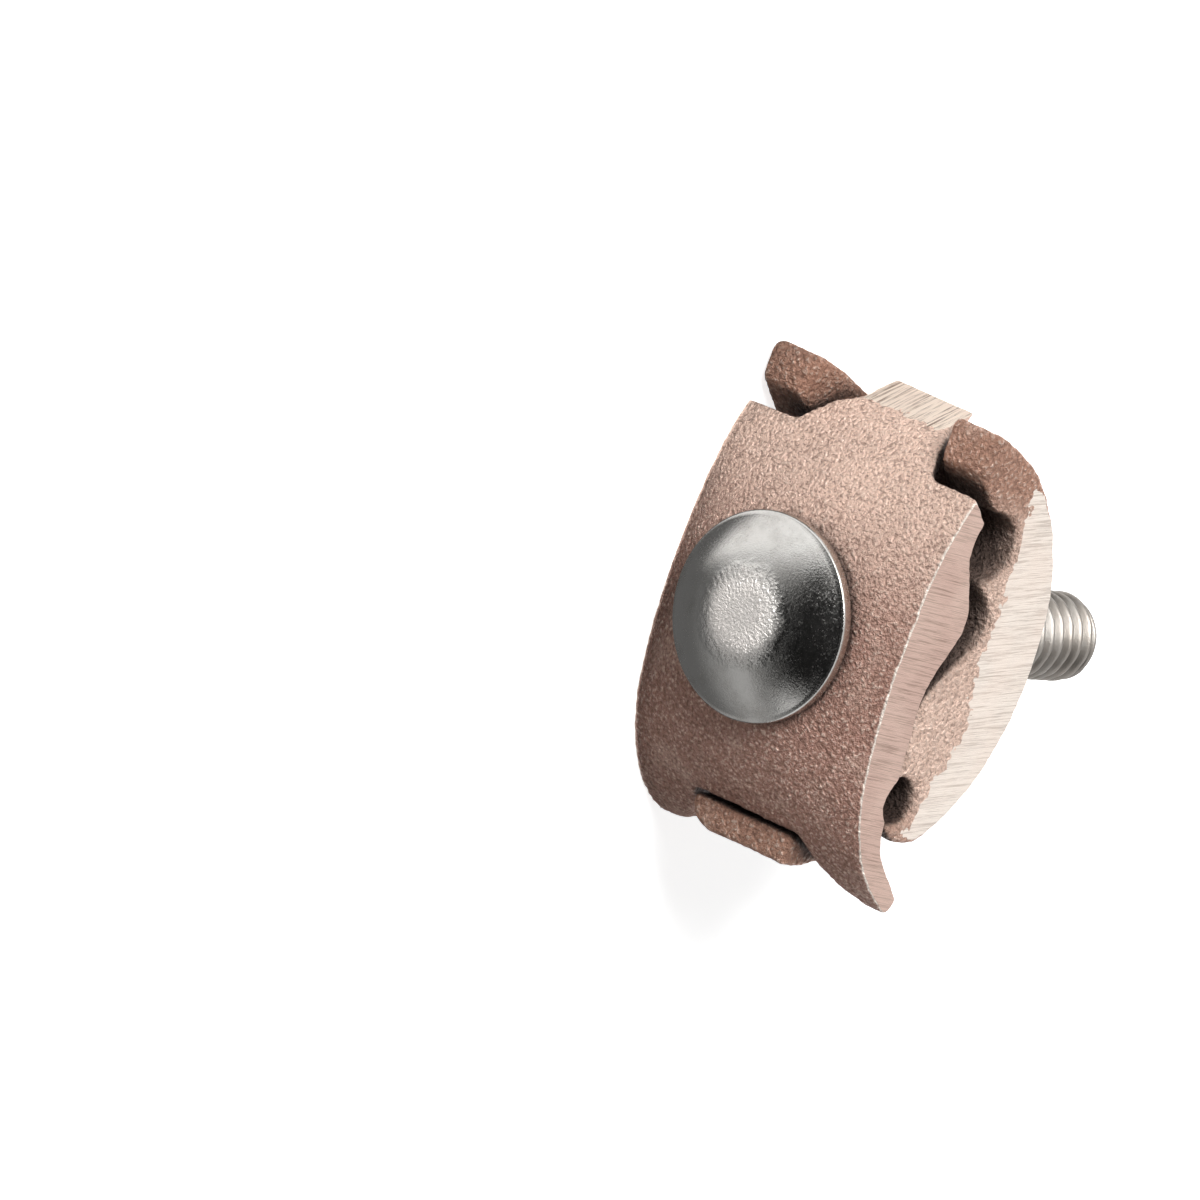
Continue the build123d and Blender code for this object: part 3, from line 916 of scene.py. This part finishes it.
class CLAMP_OT_finishes(bpy.types.Operator):
    """Makes the shared effects and the materials"""

    bl_idname = "clamp.finishes"
    bl_label = "Finishes"

    def execute(self, context):
        jaws, bolt = context.scene.clamp_casting, context.scene.clamp_bolt
        grain_group()
        scratch_group()
        # The front skin's darker lobes and its dark corners are painted shade.
        sandy_material(
            jaws,
            "Front skin",
            end_colour=jaws.skin_painted_shade,
            reach=(-16 * MM, 1 * MM),
            corner=4 * MM,
            both_ends=False,
            burr=True,
            grain_size=0.3 * MM,
            relief=0.95 * MM,
            hollow=0.55,
        )
        sandy_material(
            jaws,
            "Rear skin",
            end_colour=jaws.finger_skin,
            reach=(11 * MM, 17 * MM),
            corner=9 * MM,
            both_ends=True,
            burr=False,
            grain_size=0.38 * MM,
            relief=1.4 * MM,
            hollow=0.45,
        )
        for name, metal, turn, spacing, depth in (
            ("Front side", jaws.ground_front, jaws.slant, 0.12 * MM, 0.6),
            ("Rear side", jaws.ground, -jaws.slant, 0.11 * MM, 0.42),
            ("Nose", jaws.ground_nose, -jaws.nose_slope, 0.16 * MM, 1.0),
        ):
            ground_material(jaws, name, metal, turn, spacing, depth)
        steel_material(bolt, "Plated head", bolt.steel, bolt.head_roughness, head=True)
        steel_material(bolt, "Plated thread", bolt.thread_steel, bolt.thread_roughness, head=False)
        return {"FINISHED"}


def seen_directly(tree):
    """1 for camera, glossy and transmission rays, which see the white background."""
    path = tree.nodes.new("ShaderNodeLightPath")
    seen = math_node(tree, "MAXIMUM", path.outputs["Is Camera Ray"], path.outputs["Is Glossy Ray"])
    return math_node(tree, "MAXIMUM", seen, path.outputs["Is Transmission Ray"])


def add_camera(scene, settings):
    """Stands the camera where the photograph was taken from."""
    back = PHOTO_RIGHT.cross(PHOTO_UP).normalized()
    rim = Vector((BOLT_X, SEAT_Y + RIM_DEPTH, BOLT_Z))
    camera = bpy.data.objects.new("camera", bpy.data.cameras.new("camera"))
    scene.collection.objects.link(camera)
    camera.data.lens = settings.lens
    camera.data.sensor_width = SENSOR_WIDTH
    camera.data.clip_start = CLIP_START
    camera.data.clip_end = CLIP_END
    aside, below = RIM_ASIDE_PIXELS / FOCAL_PIXELS, RIM_BELOW_PIXELS / FOCAL_PIXELS
    aim = (back + PHOTO_RIGHT * aside - PHOTO_UP * below).normalized()
    side = (PHOTO_RIGHT - aim * PHOTO_RIGHT.dot(aim)).normalized()
    turned = Matrix((side, aim.cross(side), aim)).transposed().to_4x4()
    camera.matrix_world = Matrix.Translation(rim + back * settings.distance) @ turned
    scene.camera = camera


def add_floor(settings):
    """Lays the pale floor, which looks white where it is seen directly."""
    bm = bmesh.new()
    bmesh.ops.create_grid(bm, x_segments=1, y_segments=1, size=FLOOR_SIZE)
    material, tree, shader = new_material("Pale floor")
    shader.inputs["Base Color"].default_value = (*settings.floor, 1)
    shader.inputs["Roughness"].default_value = FLOOR_ROUGHNESS
    shader.inputs["Specular IOR Level"].default_value = 0.0
    shader.inputs["Emission Color"].default_value = WHITE
    lift = product(tree, seen_directly(tree), settings.floor_lift)
    tree.links.new(lift, shader.inputs["Emission Strength"])
    object_of(bm, "floor", [material])


def add_card(name, shade, size, place):
    """Adds a card that only shiny metal mirrors. Returns its material's tree and shader."""
    bm = bmesh.new()
    bmesh.ops.create_grid(bm, x_segments=1, y_segments=1, size=0.5)
    bmesh.ops.scale(bm, vec=(*size, 1.0), verts=bm.verts)
    bmesh.ops.transform(bm, matrix=place, verts=bm.verts)
    material, tree, shader = new_material(name)
    shader.inputs["Base Color"].default_value = (*shade, 1)
    shader.inputs["Roughness"].default_value = 1.0
    card = object_of(bm, name, [material])
    card.visible_camera = False
    card.visible_diffuse = False
    card.visible_shadow = False
    return tree, shader


def add_cards(settings):
    """Adds the dark card in front, and the low card, which glows more or less with steepness.

    Steepness is how steeply the head's seat looks down on a place of the low card.
    """
    toward = Vector(settings.card_toward).normalized()
    turned = toward.to_track_quat("Z", "Y").to_matrix().to_4x4()
    in_front = Matrix.Translation(toward * settings.card_distance) @ turned
    add_card("dark_card", settings.card, settings.card_size, in_front)
    size = settings.low_card_size
    back_edge = SEAT_Y + settings.low_card_start
    low = Vector((BOLT_X, back_edge - size[1] / 2, settings.low_card_height))
    tree, shader = add_card("low_card", settings.card, size, Matrix.Translation(low))
    split = split_place(tree, object_place(tree))
    away = math_node(tree, "MAXIMUM", math_node(tree, "SUBTRACT", SEAT_Y, split["Y"]), NEAREST)
    steepness = math_node(tree, "DIVIDE", BOLT_Z, away)
    aside = math_node(tree, "DIVIDE", math_node(tree, "SUBTRACT", split["X"], BOLT_X), away)
    ramp = tree.nodes.new("ShaderNodeValToRGB")
    stops = ramp.color_ramp.elements
    while len(stops) < len(GLOW):
        stops.new(0.5)
    for stop, (steep, bright) in zip(stops, GLOW):
        stop.position = steep
        stop.color = (bright, bright, bright, 1)
    tree.links.new(math_node(tree, "DIVIDE", steepness, STEEPEST), ramp.inputs[0])
    hides_aside = mapped(tree, aside, *ASIDE_RANGE)
    hides_near = mapped(tree, steepness, *STEEP_RANGE)
    hides_floor = math_node(tree, "MAXIMUM", hides_aside, hides_near)
    tree.links.new(hides_floor, shader.inputs["Alpha"])
    shader.inputs["Emission Color"].default_value = WHITE
    tree.links.new(ramp.outputs["Color"], shader.inputs["Emission Strength"])


def add_light(scene, settings):
    """Adds the white studio and its two lamps."""
    world = bpy.data.worlds.new("Studio")
    scene.world = world
    world.use_nodes = True
    tree = world.node_tree
    background = tree.nodes["Background"]
    strength = math_node(tree, "MAXIMUM", seen_directly(tree), settings.fill)
    tree.links.new(strength, background.inputs["Strength"])
    background.inputs["Color"].default_value = WHITE
    middle = Vector((BOLT_X, 0.0, BOLT_Z))
    for name, direction, size, power in (
        ("key", KEY_TOWARD, KEY_SIZE, settings.key),
        ("side", SIDE_TOWARD, SIDE_SIZE, settings.side),
    ):
        toward = Vector(direction)
        lamp = bpy.data.lights.new(name, "AREA")
        lamp.energy = power
        lamp.size = size
        holder = bpy.data.objects.new(name, lamp)
        holder.location = middle + toward.normalized() * LAMP_DISTANCE
        holder.rotation_mode = "QUATERNION"
        holder.rotation_quaternion = toward.to_track_quat("Z", "Y")
        scene.collection.objects.link(holder)


class CLAMP_OT_stage(bpy.types.Operator):
    """Sets up the camera, the floor, the cards and the light"""

    bl_idname = "clamp.stage"
    bl_label = "Stage"

    def execute(self, context):
        scene, settings = context.scene, context.scene.clamp_stage
        add_camera(scene, settings)
        add_floor(settings)
        add_cards(settings)
        add_light(scene, settings)
        scene.view_settings.view_transform = "Standard"
        return {"FINISHED"}


class CLAMP_PT_panel(bpy.types.Panel):
    """Lists the pieces of the clamp"""

    bl_label = "Grounding cable clamp"
    bl_idname = "CLAMP_PT_panel"
    bl_space_type = "VIEW_3D"
    bl_region_type = "UI"
    bl_category = "Clamp"

    def draw(self, context):
        for operator in OPERATORS:
            self.layout.operator(operator.bl_idname)
        for name in SETTINGS:
            settings = getattr(context.scene, name)
            for key in settings.bl_rna.properties.keys():
                if key not in {"rna_type", "name"}:
                    self.layout.prop(settings, key)


OPERATORS = (
    CLAMP_OT_finishes,
    CLAMP_OT_front_jaw,
    CLAMP_OT_rear_jaw,
    CLAMP_OT_bolt,
    CLAMP_OT_nut,
    CLAMP_OT_washer,
    CLAMP_OT_stage,
)
SETTINGS = {
    "clamp_casting": CastingSettings,
    "clamp_bolt": BoltSettings,
    "clamp_stage": StageSettings,
}


def register():
    for kind in (*SETTINGS.values(), *OPERATORS, CLAMP_PT_panel):
        bpy.utils.register_class(kind)
    for name, kind in SETTINGS.items():
        setattr(bpy.types.Scene, name, PointerProperty(type=kind))


def unregister():
    for name in SETTINGS:
        delattr(bpy.types.Scene, name)
    for kind in reversed((*SETTINGS.values(), *OPERATORS, CLAMP_PT_panel)):
        bpy.utils.unregister_class(kind)


def main():
    register()
    bpy.ops.clamp.finishes()
    bpy.ops.clamp.front_jaw()
    bpy.ops.clamp.rear_jaw()
    bpy.ops.clamp.bolt()
    bpy.ops.clamp.nut()
    bpy.ops.clamp.washer()
    bpy.ops.clamp.stage()


if __name__ == "__main__":
    main()
